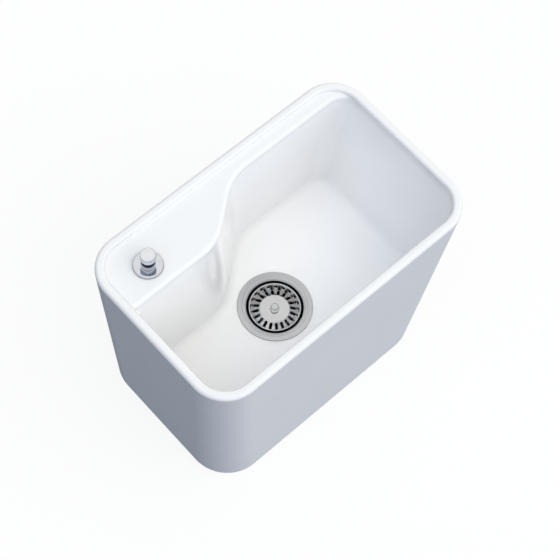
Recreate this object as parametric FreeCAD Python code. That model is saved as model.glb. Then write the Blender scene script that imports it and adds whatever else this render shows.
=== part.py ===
"""Laundry sink: a glazed ceramic trough with a raised knob deck in its back left corner, a strainer
waste in the floor, and a pull knob on the deck that lifts the strainer through a pull wire.

Millimetres. X runs along the trough, Y to its back, Z up. The origin is under the middle of the rim,
on the plane that the trough stands on.
"""
import FreeCAD, Part
import math
import os
from FreeCAD import Vector

# ---- trough -------------------------------------------------------------------------------------
RIM_LENGTH = 485.0
RIM_DEPTH = 297.0
RIM_CORNER = 56.0
BASE_LENGTH = 422.0
BASE_DEPTH = 284.0
BASE_CORNER = 63.0
BASE_SHIFT_X = -11.5
BASE_SHIFT_Y = -3.0
HEIGHT = 350.0
BOWL_DEPTH = 228.0
FLOOR_THICK = 16.0
RIM_WIDTH = 14.0
WALL = 13.0
RIM_BAND = 14.0
RIM_OUTER_ROUND = 6.0
RIM_INNER_ROUND = 3.5
BASE_CHAMFER = 2.0
PAST_RIM = 20.0
FLOOR_ROUND = 12.0

# ---- inner foot of the bowl's walls: how far each leans in from the rim's band -------------------
LEAN_RIGHT = 26.5
LEAN_LEFT = 12.5
LEAN_FRONT = 3.5
LEAN_DECK = 10.0
LEAN_SLANT = 14.0
BOWL_CORNER = 42.0
BOWL_FOOT_CORNER = 36.0

# ---- deck: a shelf along the left back, with a slanting edge that runs into a narrow back ledge --
DECK_DROP = 6.0
DECK_DEPTH = 100.5
DECK_LENGTH = 167.9
LEDGE_DEPTH = 34.0
LEDGE_START = 252.1
DECK_BEND = 80.0
LEDGE_BEND = 75.0
DECK_EDGE_ROUND = 6.0
DECK_THICK = 14.0
LEDGE_END = 6.0
LEDGE_END_CORNER = 36.0

# ---- waste --------------------------------------------------------------------------------------
WASTE_X = -2.2
WASTE_Y = -7.4
SEAT_RADIUS = 58.0
SEAT_SINK = 2.0
WASTE_HOLE = 46.0
FLANGE_RADIUS = 57.0
SHEET = 1.2
CUP_RADIUS = 43.3
CUP_DEPTH = 37.0
OUTLET_HOLE = 22.0
GASKET = 1.0
BODY_GASKET = 2.5
BODY_FLANGE = 57.0
BODY_PLATE = 5.0
BODY_WALL = 3.3
BODY_LEDGE = 4.0
BODY_SLOPE = 8.0
SPIDER_HUB = 8.0
CHAMBER_RADIUS = 30.0
CHAMBER_RISE = 34.0
THREAD_RADIUS = 23.9
THREAD_WALL = 3.4
THREAD_LENGTH = 28.0
OUTLET_BOTTOM = 8.0

# ---- strainer -----------------------------------------------------------------------------------
BASKET_RIM = 39.6
BASKET_RIM_DROP = 2.6
BASKET_VALLEY = 33.4
BASKET_VALLEY_DROP = 12.5
CROWN_RADIUS = 22.8
CROWN_DROP = 7.0
SLOT_COUNT = 20
SLOT_WIDTH = 4.2
SLOT_INNER = 23.6
SLOT_OUTER = 33.0
WALL_SLOT_WIDTH = 5.4
WALL_SLOT_HEIGHT = 4.6
WALL_SLOT_RISE = 4.6
STEM_RADIUS = 6.0
PLUG_RADIUS = 26.0
PLUG_HOLE = 9.0
PLUG_THICK = 3.0
BUTTON_RADIUS = 7.3
BUTTON_HEIGHT = 8.0

# ---- lift mechanism under the waste -------------------------------------------------------------
PIN_RADIUS = 2.5
SCREW_RADIUS = 5.0
SCREW_HEAD = 6.5
SCREW_HEAD_HEIGHT = 2.5
SHAFT_RADIUS = 4.0
SHAFT_RISE = 54.0
CRANK_THROW = 10.0
CRANK_SWING = 50.0
FINGER_RADIUS = 2.0
WEB_SET_BACK = 14.0
WEB_THICK = 4.0
WEB_HALF = 3.5
ARM_RADIUS = 13.75
ARM_THICK = 5.0
ARM_HUB = 8.0
BOSS_RADIUS = 8.5
NIPPLE_RADIUS = 2.5
WIRE_RADIUS = 0.8
CASING_RADIUS = 2.8
UPPER_FERRULE = 14.0
LOWER_WIRE_INSIDE = 16.0
UPPER_WIRE_INSIDE = 24.0
FERRULE_WALL = 1.2

# ---- pull knob on the deck ----------------------------------------------------------------------
KNOB_FROM_END = 72.2
KNOB_FROM_BACK = 63.9
KNOB_TRAVEL = 12.0
DECK_HOLE = 14.0
ROSETTE_RADIUS = 21.7
ROSETTE_THICK = 3.0
KNOB_RADIUS = 11.4
KNOB_CAP_HEIGHT = 11.0
KNOB_WAIST = 7.2
COLLAR_RADIUS = 10.4
COLLAR_HEIGHT = 8.0
KNOB_HEIGHT = 29.5
SLEEVE_RADIUS = 9.0
SLEEVE_BELOW_DECK = 40.0
SPINDLE_RADIUS = 5.0
SPINDLE_RISE = 8.0
WAIST_DEPTH = 6.0
NUT_FLATS = 27.0
NUT_HEIGHT = 8.0

# ---- clearances ---------------------------------------------------------------------------------
RUNNING = 0.05
SEATED = 0.3
LOOSE = 0.6

# ---- derived levels -----------------------------------------------------------------------------
BAND_Z = HEIGHT - RIM_BAND
FLOOR_Z = HEIGHT - BOWL_DEPTH
UNDER_Z = FLOOR_Z - FLOOR_THICK
DECK_Z = HEIGHT - DECK_DROP
DECK_UNDER_Z = DECK_Z - DECK_THICK
DECK_FRONT_Y = RIM_DEPTH / 2 - DECK_DEPTH
DECK_SLANT_X = DECK_LENGTH - RIM_LENGTH / 2
LEDGE_FRONT_Y = RIM_DEPTH / 2 - LEDGE_DEPTH
LEDGE_START_X = LEDGE_START - RIM_LENGTH / 2
KNOB_X = KNOB_FROM_END - RIM_LENGTH / 2
KNOB_Y = RIM_DEPTH / 2 - KNOB_FROM_BACK
WASTE = Vector(WASTE_X, WASTE_Y, 0)
KNOB = Vector(KNOB_X, KNOB_Y, 0)
UP = Vector(0, 0, 1)


# ---- plain geometry -----------------------------------------------------------------------------
def polygon_corner(before, corner, after, radius):
    """Where a round of this radius leaves and meets the two sides, and its middle point."""
    back = (before - corner).normalize()
    ahead = (after - corner).normalize()
    half = back.getAngle(ahead) / 2
    reach = radius / math.tan(half)
    start = corner + back * reach
    end = corner + ahead * reach
    inward = (back + ahead).normalize()
    middle = corner + inward * (radius / math.sin(half) - radius)
    return start, middle, end


def outline(corners, z):
    """Arcs and lines, in turn, through (x, y, radius) corners at height z."""
    points = [Vector(x, y, z) for x, y, _ in corners]
    count = len(points)
    rounds = []
    for i in range(count):
        rounds.append(polygon_corner(points[i - 1], points[i], points[(i + 1) % count], corners[i][2]))
    edges = []
    for i in range(count):
        start, middle, end = rounds[i]
        edges.append(Part.Arc(start, middle, end).toShape())
        edges.append(Part.LineSegment(end, rounds[(i + 1) % count][0]).toShape())
    return edges


def loft(low_corners, low_z, high_corners, high_z):
    """Solid between two outlines whose sides are parallel: plane sides, and ruled corners."""
    low = outline(low_corners, low_z)
    high = outline(high_corners, high_z)
    faces = [Part.Face(Part.Wire(low)), Part.Face(Part.Wire(high))]
    for i in range(0, len(low), 2):
        faces.append(Part.makeRuledSurface(low[i], high[i]))
        foot = [vertex.Point for vertex in low[i + 1].Vertexes]
        head = [vertex.Point for vertex in high[i + 1].Vertexes]
        faces.append(Part.Face(Part.makePolygon(foot + head[::-1] + foot[:1])))
    shell = Part.makeShell(faces)
    shell.sewShape()
    return Part.makeSolid(Part.makeShell(Part.makeSolid(shell).Faces))


def upright(corners, low_z, high_z):
    """Solid with upright sides between two heights."""
    return Part.Face(Part.Wire(outline(corners, low_z))).extrude(Vector(0, 0, high_z - low_z))


def turned(points, centre):
    """Solid of revolution of an (r, z) outline about the vertical axis through centre."""
    ring = [Vector(centre.x + r, centre.y, z) for r, z in points]
    face = Part.Face(Part.makePolygon(ring + [ring[0]]))
    return face.revolve(Vector(centre.x, centre.y, 0), UP, 360)


def rod(radius, low, high, centre):
    """Upright cylinder between two heights."""
    return Part.makeCylinder(radius, high - low, Vector(centre.x, centre.y, low))


def washer(inner, outer, low, high, centre):
    """Flat ring between two heights."""
    return rod(outer, low, high, centre).cut(rod(inner, low - 1, high + 1, centre))


def rod_x(radius, low, high, y, z):
    """Cylinder along X."""
    return Part.makeCylinder(radius, high - low, Vector(low, y, z), Vector(1, 0, 0))


def rod_y(radius, low, high, x, z):
    """Cylinder along Y."""
    return Part.makeCylinder(radius, high - low, Vector(x, low, z), Vector(0, 1, 0))


def block(x0, x1, y0, y1, z0, z1):
    """Box between two corners."""
    return Part.makeBox(x1 - x0, y1 - y0, z1 - z0, Vector(x0, y0, z0))


def mix(low, high, share):
    """Value a share of the way from low to high."""
    return low + (high - low) * share


def edges_where(shape, test):
    """Edges whose middle point passes the test."""
    found = []
    for edge in shape.Edges:
        middle = edge.valueAt((edge.FirstParameter + edge.LastParameter) / 2)
        if test(middle):
            found.append(edge)
    return found


def save(name, shape):
    """Write one sub-part."""
    shape.exportStep("parts/" + name + ".step")


# ---- the trough ---------------------------------------------------------------------------------
def outer_corners(z, inset):
    """Corners of the trough's outer wall at height z, up to the rim's band, moved in by inset."""
    share = z / BAND_Z
    half_x = mix(BASE_LENGTH, RIM_LENGTH, share) / 2 - inset
    half_y = mix(BASE_DEPTH, RIM_DEPTH, share) / 2 - inset
    shift_x = mix(BASE_SHIFT_X, 0, share)
    shift_y = mix(BASE_SHIFT_Y, 0, share)
    radius = mix(BASE_CORNER, RIM_CORNER, share) - inset
    signs = [(1, 1), (-1, 1), (-1, -1), (1, -1)]
    return [(shift_x + sx * half_x, shift_y + sy * half_y, radius) for sx, sy in signs]


def bowl_sides(share):
    """Right, left and front planes of the bowl: at its foot at share 0, in the rim's band at share 1."""
    lean = 1 - share
    right = RIM_LENGTH / 2 - RIM_WIDTH - LEAN_RIGHT * lean
    left = -(RIM_LENGTH / 2 - RIM_WIDTH - LEAN_LEFT * lean)
    front = -(RIM_DEPTH / 2 - RIM_WIDTH - LEAN_FRONT * lean)
    return right, left, front


def bowl_corners(share):
    """Corners of the bowl as it would be with no deck."""
    right, left, front = bowl_sides(share)
    back = RIM_DEPTH / 2 - RIM_WIDTH
    corner = mix(BOWL_FOOT_CORNER, BOWL_CORNER, share)
    return [(right, back, corner), (left, back, corner), (left, front, corner), (right, front, corner)]


def deck_line_corners(share):
    """Corners of the deck's wall and ledge, closed by sides that run past the bowl's own."""
    right, left, front = bowl_sides(share)
    lean = 1 - share
    deck_y = DECK_FRONT_Y - LEAN_DECK * lean
    run = Vector(LEDGE_START_X - DECK_SLANT_X, LEDGE_FRONT_Y - DECK_FRONT_Y, 0).normalize()
    aside = Vector(run.y, -run.x, 0) * (LEAN_SLANT * lean)
    slant = Vector(DECK_SLANT_X, DECK_FRONT_Y, 0) + aside
    bend_x = slant.x + run.x * (deck_y - slant.y) / run.y
    ledge_x = slant.x + run.x * (LEDGE_FRONT_Y - slant.y) / run.y
    past = FLOOR_ROUND + 4
    return [
        (right + LEDGE_END, LEDGE_FRONT_Y, LEDGE_END_CORNER),
        (ledge_x, LEDGE_FRONT_Y, LEDGE_BEND),
        (bend_x, deck_y, DECK_BEND),
        (left - past, deck_y, FLOOR_ROUND + 2),
        (left - past, front - past, BOWL_CORNER),
        (right + LEDGE_END, front - past, BOWL_CORNER),
    ]


def outer_body():
    """The tapering outside of the trough, with its upright, rounded rim."""
    rim = outer_corners(BAND_Z, 0)
    body = loft(outer_corners(0, 0), 0, rim, BAND_Z).fuse(upright(rim, BAND_Z, HEIGHT)).removeSplitter()
    body = body.makeFillet(RIM_OUTER_ROUND, edges_where(body, lambda p: p.z > HEIGHT - 0.01))
    return body.makeChamfer(BASE_CHAMFER, edges_where(body, lambda p: p.z < 0.01))


def hollow(corners):
    """Hollow that leans from the bowl's floor to the rim's band and is upright above, with a round foot."""
    leaning = loft(corners(0), FLOOR_Z, corners(1), BAND_Z)
    solid = leaning.fuse(upright(corners(1), BAND_Z, HEIGHT + PAST_RIM)).removeSplitter()
    return solid.makeFillet(FLOOR_ROUND, edges_where(solid, lambda p: p.z < FLOOR_Z + 0.01))


def rim_and_walls(outer):
    """The trough with its bowl cut as if it had no deck, and the rim's inner edge rounded."""
    shell = outer.cut(hollow(bowl_corners))
    inner = edges_where(shell, lambda p: p.z > HEIGHT - 0.01 and in_bowl(p))
    return shell.makeFillet(RIM_INNER_ROUND, inner)


def in_bowl(point):
    """Whether a point is inside the rim's flat top."""
    reach = RIM_WIDTH - RIM_OUTER_ROUND / 2
    return abs(point.x) < RIM_LENGTH / 2 - reach and abs(point.y) < RIM_DEPTH / 2 - reach


def deck_and_ledge(outer):
    """The shelf along the back, with its rounded edge, trimmed to the trough's outside."""
    over = 60
    shelf = block(
        -RIM_LENGTH / 2 - over, RIM_LENGTH / 2 + over, -RIM_DEPTH / 2 - over, RIM_DEPTH / 2 + over,
        FLOOR_Z - FLOOR_THICK / 2, DECK_Z,
    )
    shelf = shelf.cut(hollow(deck_line_corners))
    far_x = RIM_LENGTH / 2 + over / 2
    far_y = RIM_DEPTH / 2 + over / 2
    edge = edges_where(shelf, lambda p: p.z > DECK_Z - 0.01 and abs(p.x) < far_x and abs(p.y) < far_y)
    return shelf.makeFillet(DECK_EDGE_ROUND, edge).common(outer)


def underside_hollow():
    """The hollow under the floor, open below."""
    return loft(outer_corners(0, WALL), 0, outer_corners(UNDER_Z, WALL), UNDER_Z)


def deck_hollow():
    """The hollow behind the bowl's wall and under the deck, where the knob's sleeve hangs."""
    def corners(z):
        share = (z - FLOOR_Z) / (BAND_Z - FLOOR_Z)
        bowl = deck_line_corners(share)
        outer = outer_corners(z, WALL)
        bend = Vector(bowl[2][0], bowl[2][1], 0)
        run = (Vector(bowl[1][0], bowl[1][1], 0) - bend).normalize()
        moved = bend + Vector(-run.y, run.x, 0) * WALL
        front = bowl[2][1] + WALL
        back = outer[0][1]
        left = outer[1][0]
        near = moved.x + run.x * (front - moved.y) / run.y
        far = moved.x + run.x * (back - moved.y) / run.y
        return [(far, back, 8), (left, back, outer[1][2]), (left, front, 8), (near, front, DECK_BEND / 2)]
    low = UNDER_Z - 5
    return loft(corners(low), low, corners(DECK_UNDER_Z), DECK_UNDER_Z)


def basin():
    """The ceramic trough."""
    outer = outer_body()
    body = rim_and_walls(outer).fuse(deck_and_ledge(outer)).removeSplitter()
    body = body.cut(underside_hollow().fuse(deck_hollow()))
    body = body.cut(rod(SEAT_RADIUS, FLOOR_Z - SEAT_SINK, FLOOR_Z + 1, WASTE))
    body = body.cut(rod(WASTE_HOLE, UNDER_Z - 1, FLOOR_Z + 1, WASTE))
    return body.cut(rod(DECK_HOLE, DECK_UNDER_Z - 1, DECK_Z + 1, KNOB))


# ---- the waste in the floor ---------------------------------------------------------------------
CUP_OUTER = CUP_RADIUS + SHEET
SEAT_Z = FLOOR_Z - SEAT_SINK
LIP_Z = SEAT_Z + GASKET
CUP_FLOOR_Z = FLOOR_Z - CUP_DEPTH
CUP_UNDER_Z = CUP_FLOOR_Z - SHEET
PLATE_TOP_Z = UNDER_Z - BODY_GASKET
CLAMP_Z = CUP_UNDER_Z - SEATED
# heights from here down keep their share of the room between the clamp and the outlet's end
USUAL_ROOM = 75.5
SQUEEZE = (CLAMP_Z - OUTLET_BOTTOM) / USUAL_ROOM
HUB_THICK = SPIDER_HUB * SQUEEZE
THREAD_TOP_Z = OUTLET_BOTTOM + THREAD_LENGTH * SQUEEZE
THREAD_BORE = THREAD_RADIUS - THREAD_WALL
CHAMBER_FLOOR_Z = OUTLET_BOTTOM + CHAMBER_RISE * SQUEEZE
SHAFT_Z = OUTLET_BOTTOM + SHAFT_RISE * SQUEEZE
CHAMBER_OUTER = CHAMBER_RADIUS + BODY_WALL
HUB_RADIUS = 9.0
SPOKES = 3
SPOKE_HALF = 2.0
SEAL_RADIUS = 6.5
SEAL_LENGTH = 3.0

# ---- the crank's shaft, arm and wire at rest ------------------------------------------------------
HALF_SWING = math.radians(CRANK_SWING / 2)
PIN_LIFT = 2 * CRANK_THROW * math.sin(HALF_SWING)
WIRE_DRAW = 2 * ARM_RADIUS * math.sin(HALF_SWING)
SHAFT_Y = WASTE_Y - CRANK_THROW * (1 + math.cos(HALF_SWING)) / 2
FINGER_TOP_Z = SHAFT_Z - PIN_LIFT / 2 + FINGER_RADIUS
BOSS_FACE_X = WASTE_X - CUP_OUTER - LOOSE - BODY_WALL
ARM_HIGH_X = BOSS_FACE_X - SEATED
ARM_LOW_X = ARM_HIGH_X - ARM_THICK
ARM_MID_X = (ARM_HIGH_X + ARM_LOW_X) / 2
PULL_Z = SHAFT_Z - ARM_RADIUS * math.cos(HALF_SWING)
NIPPLE_Y = SHAFT_Y - WIRE_DRAW / 2
HOLDER_Y = SHAFT_Y + ARM_RADIUS
HOLDER_LENGTH = 10.0
HOLDER_HALF = 7.0
CASING_START_Y = HOLDER_Y + 2.0
FERRULE_RADIUS = CASING_RADIUS + RUNNING + FERRULE_WALL


def spokes(reach, low, high):
    """Three arms from the waste's axis, out to reach."""
    arms = []
    for i in range(SPOKES):
        arm = block(WASTE_X, WASTE_X + reach, WASTE_Y - SPOKE_HALF, WASTE_Y + SPOKE_HALF, low, high)
        arm.rotate(WASTE, UP, 90 + 360 * i / SPOKES)
        arms.append(arm)
    return arms[0].multiFuse(arms[1:])


def strainer_flange():
    """Pressed steel cup wall with a stepped lip on the floor."""
    step = 7.0
    rise = 1.6
    foot = CUP_OUTER - 3 + SHEET
    points = [
        (CUP_RADIUS - 3, CUP_FLOOR_Z), (foot, CUP_FLOOR_Z), (CUP_OUTER, CUP_UNDER_Z + 3),
        (CUP_OUTER, LIP_Z), (FLANGE_RADIUS, LIP_Z), (FLANGE_RADIUS, LIP_Z + SHEET * 0.6),
        (FLANGE_RADIUS - 0.6, LIP_Z + SHEET), (FLANGE_RADIUS - step, LIP_Z + SHEET + 0.3),
        (FLANGE_RADIUS - step - 1.2, LIP_Z + SHEET - 0.5), (CUP_OUTER + 1.5, LIP_Z + SHEET - 0.7),
        (CUP_RADIUS, LIP_Z - rise), (CUP_RADIUS, CUP_FLOOR_Z + 3),
    ]
    return turned(points, WASTE)


def cup_spider():
    """Flat bottom of the cup, with the spider that its screw draws down."""
    foot = CUP_OUTER - 3
    points = [
        (OUTLET_HOLE, CUP_UNDER_Z), (foot, CUP_UNDER_Z), (foot + SHEET, CUP_FLOOR_Z),
        (OUTLET_HOLE, CUP_FLOOR_Z),
    ]
    plate = turned(points, WASTE)
    arms = spokes(OUTLET_HOLE + 1, CUP_UNDER_Z, CUP_FLOOR_Z)
    hub = rod(HUB_RADIUS - 2, CUP_UNDER_Z, CUP_FLOOR_Z, WASTE)
    plate = plate.fuse(arms).fuse(hub).removeSplitter()
    return plate.cut(rod(SCREW_RADIUS + SEATED, CUP_UNDER_Z - 1, CUP_FLOOR_Z + 1, WASTE))


def waste_collar():
    """Moulded collar under the floor: the plate that presses the gasket, and the sleeve round the cup."""
    sleeve = CUP_OUTER + LOOSE
    plate_low = PLATE_TOP_Z - BODY_PLATE
    points = [
        (sleeve, PLATE_TOP_Z), (BODY_FLANGE, PLATE_TOP_Z), (BODY_FLANGE, plate_low),
        (sleeve + BODY_WALL, plate_low), (sleeve + BODY_WALL, CLAMP_Z), (sleeve, CLAMP_Z),
    ]
    return turned(points, WASTE)


def waste_spider():
    """Moulded ledge under the cup, with the spider that holds the screw."""
    rest = CLAMP_Z
    ledge = washer(OUTLET_HOLE + 2, CUP_OUTER + LOOSE + BODY_WALL, rest - BODY_LEDGE, rest, WASTE)
    hub = rod(HUB_RADIUS, rest - HUB_THICK, rest, WASTE)
    arms = spokes(OUTLET_HOLE + 3, rest - HUB_THICK * 0.75, rest - HUB_THICK * 0.25)
    spider = ledge.fuse(hub).fuse(arms).removeSplitter()
    return spider.cut(rod(SCREW_RADIUS + RUNNING, rest - HUB_THICK - 1, rest + 1, WASTE))


def waste_body():
    """Moulded chamber wall under the spider, with the bore for the crank's shaft."""
    top = CLAMP_Z - BODY_LEDGE
    low = CHAMBER_FLOOR_Z + BODY_WALL
    points = [
        (CHAMBER_RADIUS, top), (CUP_OUTER + LOOSE + BODY_WALL, top), (CHAMBER_OUTER, top - BODY_SLOPE),
        (CHAMBER_OUTER, low), (CHAMBER_RADIUS, low),
    ]
    return turned(points, WASTE).cut(shaft_bore(WASTE_X - CHAMBER_RADIUS / 2))


def shaft_bore(end):
    """Room for the crank's shaft from outside its boss."""
    return rod_x(SHAFT_RADIUS + RUNNING, BOSS_FACE_X - 1, end, SHAFT_Y, SHAFT_Z)


def shaft_boss():
    """Boss on the chamber's wall that carries the crank's shaft and its seal."""
    boss = rod_x(BOSS_RADIUS, BOSS_FACE_X, WASTE_X - CHAMBER_RADIUS + BOSS_RADIUS, SHAFT_Y, SHAFT_Z)
    boss = boss.cut(rod(CHAMBER_OUTER, CHAMBER_FLOOR_Z, CLAMP_Z, WASTE)).cut(shaft_bore(WASTE_X))
    seal_end = BOSS_FACE_X + SEAL_LENGTH + SEATED
    return boss.cut(rod_x(SEAL_RADIUS, BOSS_FACE_X - 1, seal_end, SHAFT_Y, SHAFT_Z))


def casing_holder():
    """Bracket on the chamber's wall that holds the end of the wire's casing."""
    low = PULL_Z - HOLDER_HALF
    high = PULL_Z + HOLDER_HALF
    end = HOLDER_Y + HOLDER_LENGTH
    arm = block(ARM_MID_X - HOLDER_HALF, WASTE_X - CHAMBER_RADIUS + 1, HOLDER_Y, end, low, high)
    arm = arm.cut(rod(CHAMBER_OUTER, low - 1, high + 1, WASTE))
    arm = arm.cut(rod_y(FERRULE_RADIUS + RUNNING, CASING_START_Y, end + 1, ARM_MID_X, PULL_Z))
    return arm.cut(rod_y(WIRE_RADIUS + SEATED, HOLDER_Y - 1, end, ARM_MID_X, PULL_Z))


def outlet_tail():
    """Floor of the chamber with the threaded outlet under it, for the trap's nut."""
    shoulder = THREAD_RADIUS + BODY_WALL
    low = CHAMBER_FLOOR_Z
    points = [
        (THREAD_BORE, OUTLET_BOTTOM), (THREAD_RADIUS, OUTLET_BOTTOM), (THREAD_RADIUS, THREAD_TOP_Z),
        (shoulder, THREAD_TOP_Z), (shoulder, low), (CHAMBER_OUTER, low),
        (CHAMBER_OUTER, low + BODY_WALL), (THREAD_BORE, low + BODY_WALL),
    ]
    return turned(points, WASTE)


# ---- strainer -----------------------------------------------------------------------------------
RIM_Z = FLOOR_Z - BASKET_RIM_DROP
VALLEY_Z = RIM_Z - BASKET_VALLEY_DROP
CROWN_Z = RIM_Z - CROWN_DROP
PLUG_TOP_Z = CUP_FLOOR_Z + SEATED + PLUG_THICK
PLUG_PLATE_THICK = 1.2
STEM_BORE_DEPTH = 6.0
BASKET_SHEET = 1.0


def slot(inner, outer, width, low, high):
    """Upright slot with round ends along a radius of the waste."""
    half = width / 2
    bar = block(inner + half, outer - half, -half, half, low, high)
    ends = [rod(half, low, high, Vector(x, 0, 0)) for x in (inner + half, outer - half)]
    bar = bar.multiFuse(ends)
    bar.translate(WASTE)
    return bar


def strainer_basket():
    """Pressed steel basket: rolled rim, slotted wall, and a slotted crown round its centre disc."""
    sheet = BASKET_SHEET
    points = [
        (STEM_RADIUS, CROWN_Z - sheet), (CROWN_RADIUS - 0.5, CROWN_Z - sheet),
        (BASKET_VALLEY - 0.8, VALLEY_Z - sheet), (BASKET_VALLEY + sheet, VALLEY_Z),
        (BASKET_RIM - 1.6, RIM_Z - 1.8), (BASKET_RIM, RIM_Z - 1.3), (BASKET_RIM, RIM_Z - 0.4),
        (BASKET_RIM - 0.7, RIM_Z), (BASKET_RIM - 1.7, RIM_Z - 0.3), (BASKET_RIM - 2.5, RIM_Z - 1.8),
        (BASKET_VALLEY, VALLEY_Z), (CROWN_RADIUS + 5.5, CROWN_Z - 3.2), (CROWN_RADIUS, CROWN_Z),
        (CROWN_RADIUS - 1.2, CROWN_Z + 0.5), (STEM_RADIUS, CROWN_Z + 0.5),
    ]
    basket = turned(points, WASTE)
    cuts = []
    half = WALL_SLOT_WIDTH / 2
    low = VALLEY_Z + WALL_SLOT_RISE
    for i in range(SLOT_COUNT):
        radial = slot(SLOT_INNER, SLOT_OUTER, SLOT_WIDTH, VALLEY_Z - 3, CROWN_Z + 2)
        radial.rotate(WASTE, UP, 360 * i / SLOT_COUNT)
        window = block(BASKET_VALLEY - 1.5, BASKET_RIM + 3, -half, half, low, low + WALL_SLOT_HEIGHT)
        window.translate(WASTE)
        window.rotate(WASTE, UP, 360 * (i + 0.5) / SLOT_COUNT)
        cuts += [radial, window]
    return basket.cut(Part.makeCompound(cuts))


def basket_stem():
    """Turned stem that hangs from the crown, bored below for the lift pin."""
    top = CROWN_Z - BASKET_SHEET
    stem = rod(STEM_RADIUS, PLUG_TOP_Z, top, WASTE)
    neck = rod(STEM_RADIUS - 0.3, top, CROWN_Z + 0.5, WASTE)
    bore = rod(PIN_RADIUS + SEATED, PLUG_TOP_Z - 1, PLUG_TOP_Z + STEM_BORE_DEPTH, WASTE)
    return stem.fuse(neck).cut(bore).removeSplitter()


def plug_plate():
    """Steel disc under the basket that backs the plug's rubber."""
    inner = STEM_RADIUS + RUNNING
    return washer(inner, PLUG_RADIUS - 2, PLUG_TOP_Z, PLUG_TOP_Z + PLUG_PLATE_THICK, WASTE)


def plug_seal():
    """Rubber ring that closes the outlet hole."""
    low = CUP_FLOOR_Z + SEATED
    points = [
        (PLUG_HOLE, low + 0.8), (OUTLET_HOLE - 2, low + 0.8), (OUTLET_HOLE + 1, low), (PLUG_RADIUS, low),
        (PLUG_RADIUS, PLUG_TOP_Z - 1), (PLUG_RADIUS - 1, PLUG_TOP_Z), (PLUG_HOLE, PLUG_TOP_Z),
    ]
    return turned(points, WASTE)


def basket_button():
    """Small turned button on the middle of the basket, for the fingers."""
    low = CROWN_Z + 0.5
    radius = BUTTON_RADIUS
    points = [
        (0, low), (radius * 0.9, low), (radius * 0.75, low + 1.2), (radius * 0.42, low + 2.2),
        (radius * 0.42, low + BUTTON_HEIGHT * 0.45), (radius * 0.75, low + BUTTON_HEIGHT * 0.62),
        (radius * 0.8, low + BUTTON_HEIGHT * 0.8), (radius * 0.6, low + BUTTON_HEIGHT * 0.95),
        (0, low + BUTTON_HEIGHT),
    ]
    return turned(points, WASTE)


# ---- lift mechanism -----------------------------------------------------------------------------
def centre_screw():
    """Hollow screw that draws the steel cup down onto the waste body and guides the lift pin."""
    head = rod(SCREW_HEAD, CUP_FLOOR_Z, CUP_FLOOR_Z + SCREW_HEAD_HEIGHT, WASTE)
    shank = rod(SCREW_RADIUS, CLAMP_Z - HUB_THICK, CUP_FLOOR_Z, WASTE)
    screw = head.fuse(shank).removeSplitter()
    return screw.cut(rod(PIN_RADIUS + RUNNING, CLAMP_Z - HUB_THICK - 1, CUP_FLOOR_Z + 5, WASTE))


def lift_pin():
    """Pin that the crank's finger raises under the basket's stem."""
    return rod(PIN_RADIUS, FINGER_TOP_Z + SEATED, PLUG_TOP_Z + STEM_BORE_DEPTH - SEATED, WASTE)


def turn_back(shape):
    """Turn a crank piece drawn at mid swing back to where it rests."""
    shape.rotate(Vector(0, SHAFT_Y, SHAFT_Z), Vector(1, 0, 0), -CRANK_SWING / 2)
    return shape


def crank_shaft():
    """Shaft through the waste body's boss, with a web and the finger that lifts the pin."""
    high = WASTE_X - WEB_SET_BACK
    low = high - WEB_THICK
    end_y = SHAFT_Y + CRANK_THROW
    shaft = rod_x(SHAFT_RADIUS, ARM_LOW_X, high, SHAFT_Y, SHAFT_Z)
    web = block(low, high, SHAFT_Y, end_y, SHAFT_Z - WEB_HALF, SHAFT_Z + WEB_HALF)
    web_end = rod_x(WEB_HALF, low, high, end_y, SHAFT_Z)
    finger = rod_x(FINGER_RADIUS, low, WASTE_X + PIN_RADIUS + 1.5, end_y, SHAFT_Z)
    return turn_back(shaft.multiFuse([web, web_end, finger]).removeSplitter())


def shaft_seal():
    """Rubber ring round the shaft in the mouth of the boss."""
    end = BOSS_FACE_X + SEAL_LENGTH
    ring = rod_x(SEAL_RADIUS - RUNNING, BOSS_FACE_X, end, SHAFT_Y, SHAFT_Z)
    return ring.cut(rod_x(SHAFT_RADIUS + SEATED, BOSS_FACE_X - 1, end + 1, SHAFT_Y, SHAFT_Z))


def crank_arm():
    """Forked arm on the outer end of the shaft, drawn by the wire's nipple and slit for the wire."""
    half = ARM_HUB * 0.75
    tip = SHAFT_Z - ARM_RADIUS - NIPPLE_RADIUS - 1.5
    low = ARM_LOW_X - 1
    high = ARM_HIGH_X + 1
    hub = rod_x(ARM_HUB, ARM_LOW_X, ARM_HIGH_X, SHAFT_Y, SHAFT_Z)
    arm = block(ARM_LOW_X, ARM_HIGH_X, SHAFT_Y - half, SHAFT_Y + half, tip, SHAFT_Z)
    gap = NIPPLE_RADIUS + SEATED
    fork_top = SHAFT_Z - ARM_RADIUS + NIPPLE_RADIUS + 2
    fork = block(low, high, SHAFT_Y - gap, SHAFT_Y + gap, tip - 1, fork_top)
    thin = WIRE_RADIUS + SEATED
    slit = block(ARM_MID_X - thin, ARM_MID_X + thin, SHAFT_Y, SHAFT_Y + half + 1, tip - 1, fork_top + 1.2)
    bore = rod_x(SHAFT_RADIUS + RUNNING, low, high, SHAFT_Y, SHAFT_Z)
    return turn_back(hub.fuse(arm).removeSplitter().cut(fork).cut(slit).cut(bore))


def arm_screw():
    """Screw head that keeps the arm on the shaft."""
    radius = SHAFT_RADIUS + 1.5
    head = rod_x(radius, ARM_LOW_X - 2.5, ARM_LOW_X, SHAFT_Y, SHAFT_Z)
    wide = radius + 1
    kerf = block(ARM_LOW_X - 3, ARM_LOW_X - 1.5, SHAFT_Y - wide, SHAFT_Y + wide, SHAFT_Z - 0.6, SHAFT_Z + 0.6)
    return turn_back(head.cut(kerf))


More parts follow.
